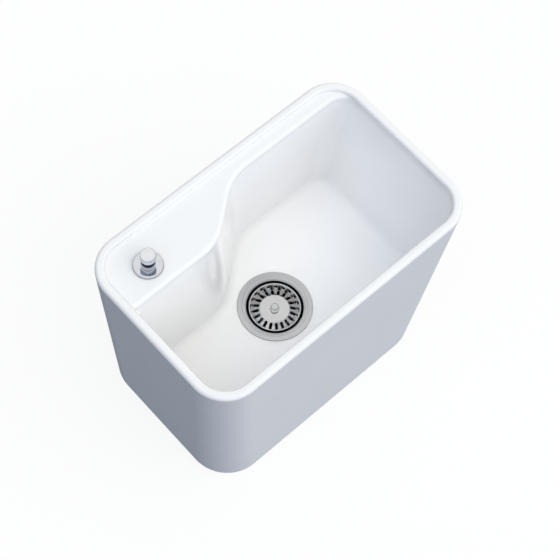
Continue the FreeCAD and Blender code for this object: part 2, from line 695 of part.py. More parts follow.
# ---- pull wire ----------------------------------------------------------------------------------
SLEEVE_LOW_Z = DECK_Z - SLEEVE_BELOW_DECK
CAP_THICK = 6.0
CASING_TOP_Z = SLEEVE_LOW_Z - 3.0
WIRE_BORE = 32.0
CASING_BACK_Y = KNOB_Y + 7.4
CASING_ROUTE = [
    Vector(ARM_MID_X, CASING_START_Y, PULL_Z),
    Vector(ARM_MID_X, mix(CASING_START_Y, CASING_BACK_Y, 0.61), PULL_Z),
    Vector(mix(ARM_MID_X, KNOB_X, 0.45), CASING_BACK_Y, PULL_Z - 3),
    Vector(mix(ARM_MID_X, KNOB_X, 0.91), CASING_BACK_Y, SHAFT_Z),
    Vector(KNOB_X, KNOB_Y, mix(PULL_Z, CASING_TOP_Z, 0.32)),
    Vector(KNOB_X, KNOB_Y, CASING_TOP_Z),
]


def routed_path(points):
    """Straight runs joined by tangent arcs, each as large as its two runs allow."""
    edges = []
    here = points[0]
    for i in range(1, len(points) - 1):
        run = min((points[i] - points[i - 1]).Length, (points[i + 1] - points[i]).Length)
        back = (points[i - 1] - points[i]).normalize()
        ahead = (points[i + 1] - points[i]).normalize()
        radius = 0.45 * run * math.tan(back.getAngle(ahead) / 2)
        start, middle, end = polygon_corner(points[i - 1], points[i], points[i + 1], radius)
        edges.append(Part.LineSegment(here, start).toShape())
        edges.append(Part.Arc(start, middle, end).toShape())
        here = end
    edges.append(Part.LineSegment(here, points[-1]).toShape())
    return Part.Wire(edges)


def wire_casing():
    """Casing that the pull wire runs in, from the waste body's bracket to the knob's sleeve."""
    path = routed_path(CASING_ROUTE)
    profile = Part.Wire(Part.makeCircle(CASING_RADIUS, CASING_ROUTE[0], Vector(0, 1, 0)))
    casing = path.makePipeShell([profile], True, False)
    bore = WIRE_RADIUS + SEATED
    lower = rod_y(bore, CASING_START_Y - 1, CASING_START_Y + WIRE_BORE, ARM_MID_X, PULL_Z)
    return casing.cut(lower).cut(rod(bore, CASING_TOP_Z - WIRE_BORE, CASING_TOP_Z + 1, KNOB))


def lower_ferrule():
    """Metal ring pressed on the casing's end in the bracket."""
    end = HOLDER_Y + HOLDER_LENGTH + 4
    outer = rod_y(FERRULE_RADIUS, CASING_START_Y, end, ARM_MID_X, PULL_Z)
    return outer.cut(rod_y(CASING_RADIUS + RUNNING, CASING_START_Y - 1, end + 1, ARM_MID_X, PULL_Z))


def upper_ferrule():
    """Metal ring pressed on the casing's end in the sleeve's end cap."""
    return washer(CASING_RADIUS + RUNNING, FERRULE_RADIUS, CASING_TOP_Z - UPPER_FERRULE, CASING_TOP_Z, KNOB)


def lower_wire():
    """End of the pull wire, with the barrel nipple that sits in the arm's fork."""
    nipple = rod_x(NIPPLE_RADIUS, ARM_LOW_X - 1.5, ARM_HIGH_X - 0.5, NIPPLE_Y, PULL_Z)
    wire = rod_y(WIRE_RADIUS, NIPPLE_Y, CASING_START_Y + LOWER_WIRE_INSIDE, ARM_MID_X, PULL_Z)
    return nipple.fuse(wire).removeSplitter()


def upper_wire():
    """End of the pull wire under the knob's spindle."""
    return rod(WIRE_RADIUS, CASING_TOP_Z - UPPER_WIRE_INSIDE, SPINDLE_LOW_Z, KNOB)


# ---- knob ---------------------------------------------------------------------------------------
ROSETTE_Z = DECK_Z + GASKET
COLLAR_Z = ROSETTE_Z + ROSETTE_THICK
COLLAR_TOP_Z = COLLAR_Z + COLLAR_HEIGHT
KNOB_TOP_Z = COLLAR_Z + KNOB_HEIGHT
SPINDLE_LOW_Z = SLEEVE_LOW_Z + SPINDLE_RISE
NUT_TOP_Z = DECK_UNDER_Z - 2.0
SPINDLE_BORE_TOP_Z = KNOB_TOP_Z - 6.0


def rosette():
    """Flat round cover plate on the deck, with a bevelled edge."""
    radius = ROSETTE_RADIUS
    inner = SLEEVE_RADIUS + RUNNING
    points = [
        (inner, ROSETTE_Z), (radius, ROSETTE_Z), (radius, ROSETTE_Z + ROSETTE_THICK * 0.45),
        (radius - 0.9, ROSETTE_Z + ROSETTE_THICK * 0.8), (radius - 3, ROSETTE_Z + ROSETTE_THICK),
        (inner, ROSETTE_Z + ROSETTE_THICK),
    ]
    return turned(points, KNOB)


def guide_sleeve():
    """Threaded sleeve through the deck: its collar clamps the rosette and its bore guides the spindle."""
    collar = COLLAR_RADIUS
    top = COLLAR_TOP_Z
    bore = SPINDLE_RADIUS + RUNNING
    mouth = KNOB_WAIST + RUNNING
    points = [
        (bore, SLEEVE_LOW_Z), (SLEEVE_RADIUS, SLEEVE_LOW_Z), (SLEEVE_RADIUS, COLLAR_Z),
        (collar, COLLAR_Z), (collar, top - 2.5), (collar - 0.8, top - 1.2), (collar - 1.8, top),
        (mouth, top), (mouth, top - WAIST_DEPTH - SEATED), (bore, top - WAIST_DEPTH - SEATED),
    ]
    return turned(points, KNOB)


def pull_knob():
    """Knob that is drawn up to open the waste: round cap on a narrow waist."""
    top = KNOB_TOP_Z
    cap_low = top - KNOB_CAP_HEIGHT
    waist = KNOB_WAIST
    bore = SPINDLE_RADIUS + RUNNING
    points = [
        (bore, COLLAR_TOP_Z - WAIST_DEPTH), (waist, COLLAR_TOP_Z - WAIST_DEPTH), (waist, COLLAR_TOP_Z + 1.5),
        (waist + 0.6, cap_low - 1.8), (KNOB_RADIUS - 1.2, cap_low), (KNOB_RADIUS, cap_low + 1.0),
        (KNOB_RADIUS, top - 1.6), (KNOB_RADIUS - 0.5, top - 0.6), (KNOB_RADIUS - 1.6, top),
        (0, top), (0, SPINDLE_BORE_TOP_Z), (bore, SPINDLE_BORE_TOP_Z),
    ]
    return turned(points, KNOB)


def knob_spindle():
    """Spindle screwed into the knob, which draws the wire."""
    return rod(SPINDLE_RADIUS, SPINDLE_LOW_Z, SPINDLE_BORE_TOP_Z, KNOB)


def sleeve_end_cap():
    """Cap on the sleeve's lower end, with the seat of the wire's casing."""
    low = SLEEVE_LOW_Z - CAP_THICK
    top = SLEEVE_LOW_Z + 6
    outer = SLEEVE_RADIUS + 3
    cap = rod(outer, low, top, KNOB).cut(rod(SLEEVE_RADIUS + RUNNING, SLEEVE_LOW_Z, top + 1, KNOB))
    cap = cap.cut(rod(FERRULE_RADIUS + RUNNING, low - 1, CASING_TOP_Z, KNOB))
    return cap.cut(rod(WIRE_RADIUS + SEATED, low, SLEEVE_LOW_Z + 1, KNOB))


def lock_nut():
    """Hexagonal nut that clamps the sleeve under the deck."""
    radius = NUT_FLATS / 2 / math.cos(math.radians(30))
    low = NUT_TOP_Z - NUT_HEIGHT
    corners = []
    for i in range(6):
        angle = math.radians(60 * i)
        corners.append(KNOB + Vector(radius * math.cos(angle), radius * math.sin(angle), low))
    nut = Part.Face(Part.makePolygon(corners + [corners[0]])).extrude(Vector(0, 0, NUT_HEIGHT))
    return nut.cut(rod(SLEEVE_RADIUS + RUNNING, low - 1, NUT_TOP_Z + 1, KNOB))


def build():
    """Write every sub-part."""
    os.makedirs("parts", exist_ok=True)
    save("basin", basin())
    save("strainer_flange", strainer_flange())
    save("cup_spider", cup_spider())
    save("flange_gasket", washer(WASTE_HOLE, FLANGE_RADIUS - 0.5, SEAT_Z, LIP_Z, WASTE))
    save("body_gasket", washer(WASTE_HOLE, BODY_FLANGE, PLATE_TOP_Z, UNDER_Z, WASTE))
    save("waste_collar", waste_collar())
    save("waste_spider", waste_spider())
    save("waste_body", waste_body())
    save("shaft_boss", shaft_boss())
    save("casing_holder", casing_holder())
    save("outlet_tail", outlet_tail())
    save("centre_screw", centre_screw())
    save("lift_pin", lift_pin())
    save("crank_shaft", crank_shaft())
    save("shaft_seal", shaft_seal())
    save("crank_arm", crank_arm())
    save("arm_screw", arm_screw())
    save("lower_wire", lower_wire())
    save("lower_ferrule", lower_ferrule())
    save("wire_casing", wire_casing())
    save("upper_ferrule", upper_ferrule())
    save("upper_wire", upper_wire())
    save("sleeve_end_cap", sleeve_end_cap())
    save("guide_sleeve", guide_sleeve())
    save("rosette", rosette())
    save("rosette_gasket", washer(SLEEVE_RADIUS + RUNNING, ROSETTE_RADIUS - 0.7, DECK_Z, ROSETTE_Z, KNOB))
    save("sleeve_washer", washer(SLEEVE_RADIUS + RUNNING, DECK_HOLE + 6, NUT_TOP_Z, DECK_UNDER_Z, KNOB))
    save("lock_nut", lock_nut())
    save("knob_spindle", knob_spindle())
    save("pull_knob", pull_knob())
    save("strainer_basket", strainer_basket())
    save("basket_stem", basket_stem())
    save("basket_button", basket_button())
    save("plug_plate", plug_plate())
    save("plug_seal", plug_seal())


build()
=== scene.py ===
"""Looks of the utility sink: glazed trough, steel strainer, chrome knob, and the lift beneath."""
import math

import bpy
import numpy as np
from mathutils import Matrix, Vector


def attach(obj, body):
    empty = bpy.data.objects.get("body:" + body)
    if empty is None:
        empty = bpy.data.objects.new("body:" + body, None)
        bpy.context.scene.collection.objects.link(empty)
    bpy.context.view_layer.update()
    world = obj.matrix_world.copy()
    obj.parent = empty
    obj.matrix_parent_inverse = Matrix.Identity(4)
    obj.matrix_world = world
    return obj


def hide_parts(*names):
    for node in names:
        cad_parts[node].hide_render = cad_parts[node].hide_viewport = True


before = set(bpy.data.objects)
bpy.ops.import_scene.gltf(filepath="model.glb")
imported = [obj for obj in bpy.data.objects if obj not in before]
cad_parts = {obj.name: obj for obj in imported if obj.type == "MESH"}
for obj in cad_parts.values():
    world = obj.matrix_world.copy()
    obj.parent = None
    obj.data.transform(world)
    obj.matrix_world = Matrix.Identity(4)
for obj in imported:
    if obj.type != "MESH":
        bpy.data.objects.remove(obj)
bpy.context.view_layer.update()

# ---- sizes of the trough, in millimetres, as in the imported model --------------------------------
RIM_LENGTH = 485.0
RIM_DEPTH = 297.0
RIM_CORNER = 56.0
BASE_LENGTH = 422.0
BASE_DEPTH = 284.0
BASE_CORNER = 63.0
BASE_SHIFT = (-11.5, -3.0)
HEIGHT = 350.0
FLOOR_Z = 122.0
UNDER_Z = 106.0
DECK_Z = 344.0
DECK_UNDER_Z = 330.0
RIM_WIDTH = 14.0
WALL = 13.0
LEAN = {"right": 26.5, "left": 12.5, "front": 3.5, "deck": 10.0, "slant": 14.0}
BOWL_CORNERS = (36.0, 42.0)
DECK_FRONT_Y = 48.0
DECK_SLANT_X = -74.6
LEDGE_FRONT_Y = 114.5
LEDGE_START_X = 9.6
DECK_BEND = 80.0
LEDGE_BEND = 75.0
LEDGE_END = 6.0
LEDGE_END_CORNER = 36.0
ROUND = {
    "rim_outer": 6.0, "rim_inner": 3.5, "base": 3.0, "floor": 12.0, "deck_edge": 6.0, "crease": 2.5,
    "deck_corner": 16.0, "under": 10.0, "bay_side": 8.0, "bay_top": 6.0, "inner_edge": 2.0,
}
DISH_DEPTH = 1.3
DISH_REACH = (62, 78)
CORNER_SOFT_X = (120, 170)
CORNER_SOFT_Z = (DECK_Z - 26, DECK_Z - 4)
GLAZE_EDGE_DROP = 5.5
OUTSIDE_DEPTH = 3.0
WASTE_SEAT_RADIUS = 57.6
WASTE_HOLE_RADIUS = 46.0
KNOB_HOLE_RADIUS = 14.0
WASTE = (-2.2, -7.4)
KNOB = (-170.3, 84.6)

# ---- sizes of the basket, in millimetres --------------------------------------------------------
BASKET_LINE = [
    (5.0, 112.15), (22.3, 112.1), (27.9, 108.8), (33.6, 106.5), (37.4, 117.3), (37.9, 118.6), (38.6, 118.9),
    (39.1, 118.6), (39.1, 118.2),
]
SHEET_HALF = 0.5
BEAD_HALF = 0.55
BEAD_START = 38.2
SLOTS = 20
SLOT_REACH = (25.7, 30.9)
SLOT_HALF = 2.1
WINDOW_HALF = (2.7, 2.3)
WINDOW_Z = 113.8
WINDOW_START = 33.2

# ---- meshing and stage --------------------------------------------------------------------------
MM = 0.001
MARGIN = 6.0
TROUGH_CELL = 2.3
TROUGH_KEPT = 0.22
BASKET_CELL = 0.52
SLOPE_STEP = 0.05
BASKET_SLOPE_STEP = 0.03
SMOOTH_COS = 0.6
ON_SURFACE = 0.15
BASKET_KEPT = 0.4
FLOOR_SIZE = 6.0
FLOOR_DROP = 0.0005
FLOOR_BOUNCE = (0.1, 0.11, 0.13)
FLOOR_TONE = (0.85, 0.85, 0.85)
FLOOR_GLOW = 0.86
SENSOR = 36.0
FOCAL_PIXELS = 1717.9
FRAME_PIXELS = 560.0
VIEWPOINT = (-0.81678, -0.71346, 2.46989)


# ---- the trough as a smooth signed distance -----------------------------------------------------
def meet(a, b, radius, cos=0.0):
    """Intersection of two distance fields whose edge is rounded; cos is between their normals."""
    u = a + radius
    v = b + radius
    inside = (u > v * cos) & (v > u * cos)
    square = np.maximum(u * u + v * v - 2 * u * v * cos, 0) / (1 - cos * cos)
    return np.where(inside, np.sqrt(square) - radius, np.maximum(a, b))


def join(a, b, radius, cos=0.0):
    """Union of two distance fields with a rounded seam."""
    return -meet(-a, -b, radius, cos)


def ramp(value, low, high):
    """0 below low, 1 above high, smooth between."""
    t = np.clip((value - low) / (high - low), 0, 1)
    return t * t * (3 - 2 * t)


def outside(x, y, z):
    """Distance from the tapering outer wall, negative within it."""
    share = z / HEIGHT
    half_x = (BASE_LENGTH + (RIM_LENGTH - BASE_LENGTH) * share) / 2
    half_y = (BASE_DEPTH + (RIM_DEPTH - BASE_DEPTH) * share) / 2
    mid_x = BASE_SHIFT[0] * (1 - share)
    mid_y = BASE_SHIFT[1] * (1 - share)
    corner = BASE_CORNER + (RIM_CORNER - BASE_CORNER) * share
    return meet(abs(x - mid_x) - half_x, abs(y - mid_y) - half_y, corner)


def trough(x, y, z):
    """Signed distance to the glazed body without its drilled holes, negative in the ceramic."""
    side = outside(x, y, z)
    outer = meet(meet(side, z - HEIGHT, ROUND["rim_outer"]), -z, ROUND["base"])

    lean = 1 - (z - FLOOR_Z) / (HEIGHT - FLOOR_Z)
    right = RIM_LENGTH / 2 - RIM_WIDTH - LEAN["right"] * lean
    left = -(RIM_LENGTH / 2 - RIM_WIDTH - LEAN["left"] * lean)
    front = -(RIM_DEPTH / 2 - RIM_WIDTH - LEAN["front"] * lean)
    back = RIM_DEPTH / 2 - RIM_WIDTH
    corner = BOWL_CORNERS[1] + (BOWL_CORNERS[0] - BOWL_CORNERS[1]) * lean
    bowl = meet(
        abs(x - (right + left) / 2) - (right - left) / 2,
        abs(y - (back + front) / 2) - (back - front) / 2, corner,
    )

    run = Vector((LEDGE_START_X - DECK_SLANT_X, LEDGE_FRONT_Y - DECK_FRONT_Y)).normalized()
    deck = y - (DECK_FRONT_Y - LEAN["deck"] * lean)
    slant = -run.y * (x - DECK_SLANT_X) + run.x * (y - DECK_FRONT_Y) + LEAN["slant"] * lean
    shelf = join(deck, slant, DECK_BEND, run.x)
    line = meet(shelf, y - LEDGE_FRONT_Y, LEDGE_BEND, run.x)
    line = meet(line, x - right - LEDGE_END, LEDGE_END_CORNER)
    over = join(line, DECK_Z - z, ROUND["deck_edge"])
    soft = ramp(-x, *CORNER_SOFT_X) * (1 - ramp(z, *CORNER_SOFT_Z))
    seam = ROUND["crease"] + (ROUND["deck_corner"] - ROUND["crease"]) * soft
    from_waste = np.sqrt((x - WASTE[0]) ** 2 + (y - WASTE[1]) ** 2)
    dish = DISH_DEPTH * (1 - ramp(from_waste, *DISH_REACH))
    air = meet(meet(bowl, over, seam), FLOOR_Z - dish - z, ROUND["floor"])

    below = meet(side + WALL, z - UNDER_Z, ROUND["under"])
    bay = meet(meet(side + WALL, WALL - shelf, ROUND["bay_side"]), z - DECK_UNDER_Z, ROUND["bay_top"])
    solid = meet(outer, -air, ROUND["rim_inner"])
    return meet(solid, -np.minimum(below, bay), ROUND["inner_edge"])


def slope(field, points, step=SLOPE_STEP):
    """Gradient of a field at N by 3 points."""
    grad = np.empty_like(points)
    for axis in range(3):
        shift = np.zeros(3)
        shift[axis] = step
        ahead = field(*(points + shift).T)
        behind = field(*(points - shift).T)
        grad[:, axis] = (ahead - behind) / (2 * step)
    return grad


def settle(field, points, rounds=4):
    """Points moved onto the field's surface."""
    for _ in range(rounds):
        grad = slope(field, points)
        size = np.maximum((grad * grad).sum(1), 0.05)
        move = field(*points.T) / size
        points = points - np.clip(move, -2.5, 2.5)[:, None] * grad
    return points


def skin(field, low, high, cell):
    """Quads round the field's surface: one vertex per crossed cell, one quad per crossed edge of the grid."""
    axes = [np.arange(low[i], high[i] + cell, cell) for i in range(3)]
    shape = tuple(len(a) for a in axes)
    inside = np.empty(shape, bool)
    xx, yy = np.meshgrid(axes[0], axes[1], indexing="ij")
    for k, z in enumerate(axes[2]):
        inside[:, :, k] = field(xx, yy, np.full_like(xx, z)) < 0
    corners = [inside[i:shape[0] - 1 + i, j:shape[1] - 1 + j, k:shape[2] - 1 + k]
               for i in (0, 1) for j in (0, 1) for k in (0, 1)]
    count = sum(c.astype(np.int8) for c in corners)
    crossed = (count > 0) & (count < 8)
    index = np.full(crossed.shape, -1, np.int64)
    index[crossed] = np.arange(crossed.sum())
    cells = np.argwhere(crossed)
    points = np.stack([axes[i][cells[:, i]] + cell / 2 for i in range(3)], 1)
    quads = []
    for axis in range(3):
        a, b = [i for i in range(3) if i != axis]
        lower = np.take(inside, range(shape[axis] - 1), axis)
        upper = np.take(inside, range(1, shape[axis]), axis)
        for flip, edge in ((False, lower & ~upper), (True, upper & ~lower)):
            spots = np.argwhere(edge)
            ring = []
            for da, db in ((1, 1), (0, 1), (0, 0), (1, 0)):
                spot = spots.copy()
                spot[:, a] -= da
                spot[:, b] -= db
                ring.append(index[spot[:, 0], spot[:, 1], spot[:, 2]])
            ring = np.stack(ring, 1)
            if flip != (axis == 1):
                ring = ring[:, ::-1]
            quads.append(ring)
    return points, np.concatenate(quads)


def mesh_object(name, vertices, faces):
    """New mesh object, smooth shaded."""
    mesh = bpy.data.meshes.new(name)
    mesh.from_pydata([tuple(v) for v in vertices], [], [tuple(f) for f in faces])
    mesh.update()
    obj = bpy.data.objects.new(name, mesh)
    bpy.context.scene.collection.objects.link(obj)
    smooth_shaded(mesh)
    return obj


def read(items, name, kind=float):
    """One value of every item of a mesh, as an array."""
    values = np.empty(len(items), kind)
    items.foreach_get(name, values)
    return values


def read_vectors(items, name):
    """One vector of every item of a mesh, as an N by 3 array."""
    values = np.empty(len(items) * 3)
    items.foreach_get(name, values)
    return values.reshape(-1, 3)


def applied(obj):
    """Make the object's modifiers real."""
    graph = bpy.context.evaluated_depsgraph_get()
    mesh = bpy.data.meshes.new_from_object(obj.evaluated_get(graph))
    obj.modifiers.clear()
    obj.data = mesh


def thinned(obj, kept):
    """Merge faces until the kept share is left, the flat ones first."""
    thin = obj.modifiers.new("thin", "DECIMATE")
    thin.ratio = kept
    applied(obj)


def smooth_shaded(mesh):
    """Smooth every face of a mesh."""
    mesh.polygons.foreach_set("use_smooth", [True] * len(mesh.polygons))


def unit_slope(field, points, step):
    """Directions out of a field's surface at N by 3 points."""
    grad = slope(field, points, step)
    return grad / np.maximum(np.linalg.norm(grad, axis=1), 1e-6)[:, None]


def drill(obj, radius, low, high, centre, segments=128):
    """Cut an upright round hole, in millimetres."""
    ring = [2 * math.pi * i / segments for i in range(segments)]
    lower = [(centre[0] + radius * math.cos(t), centre[1] + radius * math.sin(t), low) for t in ring]
    upper = [(x, y, high) for x, y, _ in lower]
    faces = [tuple(range(segments))[::-1], tuple(range(segments, 2 * segments))]
    for i in range(segments):
        j = (i + 1) % segments
        faces.append((i, j, segments + j, segments + i))
    tool = mesh_object("tool", lower + upper, faces)
    cut = obj.modifiers.new("drill", "BOOLEAN")
    cut.object = tool
    cut.operation = "DIFFERENCE"
    cut.solver = "EXACT"
    bpy.context.view_layer.update()
    applied(obj)
    bpy.data.objects.remove(tool)


def trough_normals(obj):
    """Smooth normals taken from the distance field, except on the drilled walls."""
    mesh = obj.data
    points = read_vectors(mesh.vertices, "co") / MM
    owner = read(mesh.loops, "vertex_index", np.int64)
    counts = read(mesh.polygons, "loop_total", np.int64)
    flat = np.repeat(read_vectors(mesh.polygons, "normal"), counts, axis=0)
    smooth = unit_slope(trough, points, SLOPE_STEP)[owner]
    turned_away = (smooth * flat).sum(1) < SMOOTH_COS
    off = np.abs(trough(*points.T))[owner] > ON_SURFACE
    smooth[turned_away | off] = flat[turned_away | off]
    mesh.normals_split_custom_set(smooth.tolist())


def glazed_trough():
    """The ceramic body: a skin on the distance field, thinned where it is flat, and drilled."""
    low = (-RIM_LENGTH / 2 - MARGIN, -RIM_DEPTH / 2 - MARGIN, -MARGIN)
    high = (RIM_LENGTH / 2 + MARGIN, RIM_DEPTH / 2 + MARGIN, HEIGHT + MARGIN)
    points, quads = skin(trough, low, high, TROUGH_CELL)
    points = settle(trough, points)
    obj = mesh_object("glazed_trough", points * MM, quads)
    thinned(obj, TROUGH_KEPT)
    mesh = obj.data
    points = settle(trough, read_vectors(mesh.vertices, "co") / MM, 2)
    mesh.vertices.foreach_set("co", (points * MM).ravel())
    mesh.update()
    for radius, lower, upper, centre in (
        (WASTE_SEAT_RADIUS, FLOOR_Z - 2, FLOOR_Z + 8, WASTE),
        (WASTE_HOLE_RADIUS, UNDER_Z - 8, FLOOR_Z - 1, WASTE),
        (KNOB_HOLE_RADIUS, DECK_UNDER_Z - 8, DECK_Z + 4, KNOB),
    ):
        drill(obj, radius * MM, lower * MM, upper * MM, [c * MM for c in centre])
    smooth_shaded(obj.data)
    trough_normals(obj)
    return obj


# ---- turned and pressed metal -------------------------------------------------------------------
def rounded(corners, turn=10.0):
    """Points of a closed (r, z, round) outline, each with its normals before and after."""
    count = len(corners)
    points = []
    for i in range(count):
        here = Vector(corners[i][:2])
        before = here - Vector(corners[i - 1][:2])
        after = Vector(corners[(i + 1) % count][:2]) - here
        ahead = before.normalized()
        onward = after.normalized()
        angle = math.atan2(ahead.x * onward.y - ahead.y * onward.x, ahead.dot(onward))
        first = Vector((ahead.y, -ahead.x))
        last = Vector((onward.y, -onward.x))
        radius = corners[i][2] if len(corners[i]) > 2 else 0
        if radius <= 0 or abs(angle) < 0.01:
            points.append((here, first, last))
            continue
        reach = min(radius * math.tan(abs(angle) / 2), 0.49 * min(before.length, after.length))
        radius = reach / math.tan(abs(angle) / 2)
        side = 1 if angle > 0 else -1
        start = here - ahead * reach
        centre = start - first * radius * side
        steps = max(2, math.ceil(abs(math.degrees(angle)) / turn))
        for step in range(steps + 1):
            spin = Matrix.Rotation(angle * step / steps, 2)
            normal = spin @ first
            points.append((centre + normal * radius * side, normal, normal))
    return points


def turned(name, corners, centre, segments=128):
    """Solid of revolution of a rounded outline, in millimetres, with its true normals."""
    points = rounded(corners)
    ring = [2 * math.pi * i / segments for i in range(segments)]
    vertices = []
    first = []
    for point, _, _ in points:
        first.append(len(vertices))
        spots = [0.0] if point.x < 1e-6 else ring
        vertices += [((centre[0] + point.x * math.cos(t)) * MM, (centre[1] + point.x * math.sin(t)) * MM,
                      point.y * MM) for t in spots]
    faces = []
    normals = []
    for i, (point, _, leaving) in enumerate(points):
        j = (i + 1) % len(points)
        arriving = points[j][1]
        ends = (point.x < 1e-6, points[j][0].x < 1e-6)
        if all(ends):
            continue
        for k in range(segments):
            m = (k + 1) % segments
            loop = [
                (first[i] + (0 if ends[0] else k), leaving, k),
                (first[i] + (0 if ends[0] else m), leaving, m),
                (first[j] + (0 if ends[1] else m), arriving, m),
                (first[j] + (0 if ends[1] else k), arriving, k),
            ]
            if ends[0]:
                loop.pop(0)
            if ends[1]:
                loop.pop()
            faces.append([v for v, _, _ in loop])
            normals += [(n.x * math.cos(ring[a]), n.x * math.sin(ring[a]), n.y) for _, n, a in loop]
    obj = mesh_object(name, vertices, faces)
    obj.data.normals_split_custom_set(normals)
    return obj


def basket_field(x, y, z):
    """Signed distance to the pressed basket: one sheet, with round-ended slots and wall windows."""
    x = x - WASTE[0]
    y = y - WASTE[1]
    r = np.sqrt(x * x + y * y)
    gap = np.full(np.shape(r), 1e9)
    for (r0, z0), (r1, z1) in zip(BASKET_LINE, BASKET_LINE[1:]):
        dr, dz = r1 - r0, z1 - z0
        along = np.clip(((r - r0) * dr + (z - z0) * dz) / (dr * dr + dz * dz), 0, 1)
        gap = np.minimum(gap, np.sqrt((r - r0 - along * dr) ** 2 + (z - z0 - along * dz) ** 2))
    sheet = gap - np.where(r > BEAD_START, BEAD_HALF, SHEET_HALF)
    step = 2 * math.pi / SLOTS
    angle = np.arctan2(y, x)
    fold = angle - step * np.round(angle / step)
    ahead, aside = r * np.cos(fold), r * np.sin(fold)
    slot = np.sqrt((ahead - np.clip(ahead, *SLOT_REACH)) ** 2 + aside * aside) - SLOT_HALF
    shifted = angle - step / 2
    fold = shifted - step * np.round(shifted / step)
    wide = abs(r * np.sin(fold)) - WINDOW_HALF[0]
    tall = abs(z - WINDOW_Z) - WINDOW_HALF[1]
    window = meet(meet(wide, tall, 1.0), WINDOW_START - r, 0.2)
    return meet(sheet, -np.minimum(slot, window), 0.3)


def pressed_basket():
    """The slotted basket as a skin on its distance field."""
    low = (WASTE[0] - 42, WASTE[1] - 42, 103.5)
    high = (WASTE[0] + 42, WASTE[1] + 42, 122.0)
    points, quads = skin(basket_field, low, high, BASKET_CELL)
    points = settle(basket_field, points, 5)
    basket = mesh_object("pressed_basket", points * MM, quads)
    thinned(basket, BASKET_KEPT)
    mesh = basket.data
    smooth_shaded(mesh)
    normals = unit_slope(basket_field, read_vectors(mesh.vertices, "co") / MM, BASKET_SLOPE_STEP)
    mesh.normals_split_custom_set(normals[read(mesh.loops, "vertex_index", np.int64)].tolist())
    return basket


# ---- material helpers ---------------------------------------------------------------------------
class Nodes:
    """Small wrapper that adds and links shader nodes."""

    def __init__(self, name):
        self.material = bpy.data.materials.new(name)
        self.material.use_nodes = True
        self.tree = self.material.node_tree
        self.tree.nodes.clear()
        self.shader = self.add("ShaderNodeBsdfPrincipled")
        self.out = self.add("ShaderNodeOutputMaterial")
        self.link(self.shader.outputs[0], self.out.inputs["Surface"])

    def add(self, kind, **values):
        node = self.tree.nodes.new(kind)
        for key, value in values.items():
            if key in node.inputs:
                node.inputs[key].default_value = value
            else:
                setattr(node, key, value)
        return node

    def link(self, source, target):
        self.tree.links.new(source, target)

    def set(self, **values):
        for key, value in values.items():
            self.shader.inputs[key.replace("_", " ")].default_value = value

    def place(self, centre=(0, 0, 0)):
        """Object coordinates measured from centre, in metres."""
        coord = self.add("ShaderNodeTexCoord")
        shift = self.add("ShaderNodeVectorMath", operation="SUBTRACT")
        self.link(coord.outputs["Object"], shift.inputs[0])
        shift.inputs[1].default_value = centre
        return shift.outputs[0]

    def noise(self, vector, scale, detail=3.0, rough=0.5):
        node = self.add("ShaderNodeTexNoise", Scale=scale, Detail=detail, Roughness=rough)
        self.link(vector, node.inputs["Vector"])
        return node.outputs["Fac"]

    def math(self, operation, a, b=None):
        node = self.add("ShaderNodeMath", operation=operation)
        for socket, value in zip(node.inputs, (a, b)):
            if value is None:
                continue
            if isinstance(value, (int, float)):
                socket.default_value = value
            else:
                self.link(value, socket)
        return node.outputs[0]

    def remap(self, value, low, high, new_low, new_high):
        node = self.add("ShaderNodeMapRange")
        node.inputs["From Min"].default_value = low
        node.inputs["From Max"].default_value = high
        node.inputs["To Min"].default_value = new_low
        node.inputs["To Max"].default_value = new_high
        self.link(value, node.inputs["Value"])
        return node.outputs[0]

    def colors(self, value, stops):
        node = self.add("ShaderNodeValToRGB")
        ramp_ = node.color_ramp
        while len(ramp_.elements) < len(stops):
            ramp_.elements.new(0.5)
        for element, (spot, color) in zip(ramp_.elements, stops):
            element.position = spot
            element.color = (*color, 1)
        self.link(value, node.inputs["Fac"])
        return node.outputs["Color"]

    def darkened(self, tint, level):
        """A colour times another."""
        node = self.add("ShaderNodeMix", data_type="RGBA", blend_type="MULTIPLY")
        node.inputs[0].default_value = 1.0
        self.link(tint, node.inputs[6])
        self.link(level, node.inputs[7])
        return node.outputs[2]

    def bump(self, height, strength, distance):
        node = self.add("ShaderNodeBump", Strength=strength, Distance=distance)
        self.link(height, node.inputs["Height"])
        self.link(node.outputs[0], self.shader.inputs["Normal"])

    def to(self, source, socket):
        self.link(source, self.shader.inputs[socket])


def glaze(name, tone, rough, specular, painted_fill=1.0):
    """White vitreous glaze with faint clouding and a slow swell; below the deck its tone is scaled by the
    last argument, painted light that brightens the bowl's walls and floor.
    """
    m = Nodes(name)
    place = m.place()
    split = m.add("ShaderNodeSeparateXYZ")
    m.link(place, split.inputs[0])
    cloud = m.remap(m.noise(place, 9.0, 2.0), 0.35, 0.65, 0.985, 1.0)
    # Painted light: below the deck the tone is multiplied by the last argument, so the bowl's inner walls and
    # floor come out brighter.
    level = m.remap(split.outputs["Z"], (DECK_Z - 14) * MM, (DECK_Z - 2) * MM, painted_fill, 1.0)
    tint = m.add("ShaderNodeVectorMath", operation="SCALE")
    tint.inputs[0].default_value = tone
    m.link(m.math("MULTIPLY", cloud, level), tint.inputs["Scale"])
    m.to(tint.outputs[0], "Base Color")
    m.to(m.remap(m.noise(place, 40.0, 4.0), 0.3, 0.7, rough * 0.7, rough * 1.3), "Roughness")
    m.set(IOR=1.46, Specular_IOR_Level=specular)
    m.bump(m.noise(place, 22.0, 1.0), 0.1, 0.002)
    return m.material


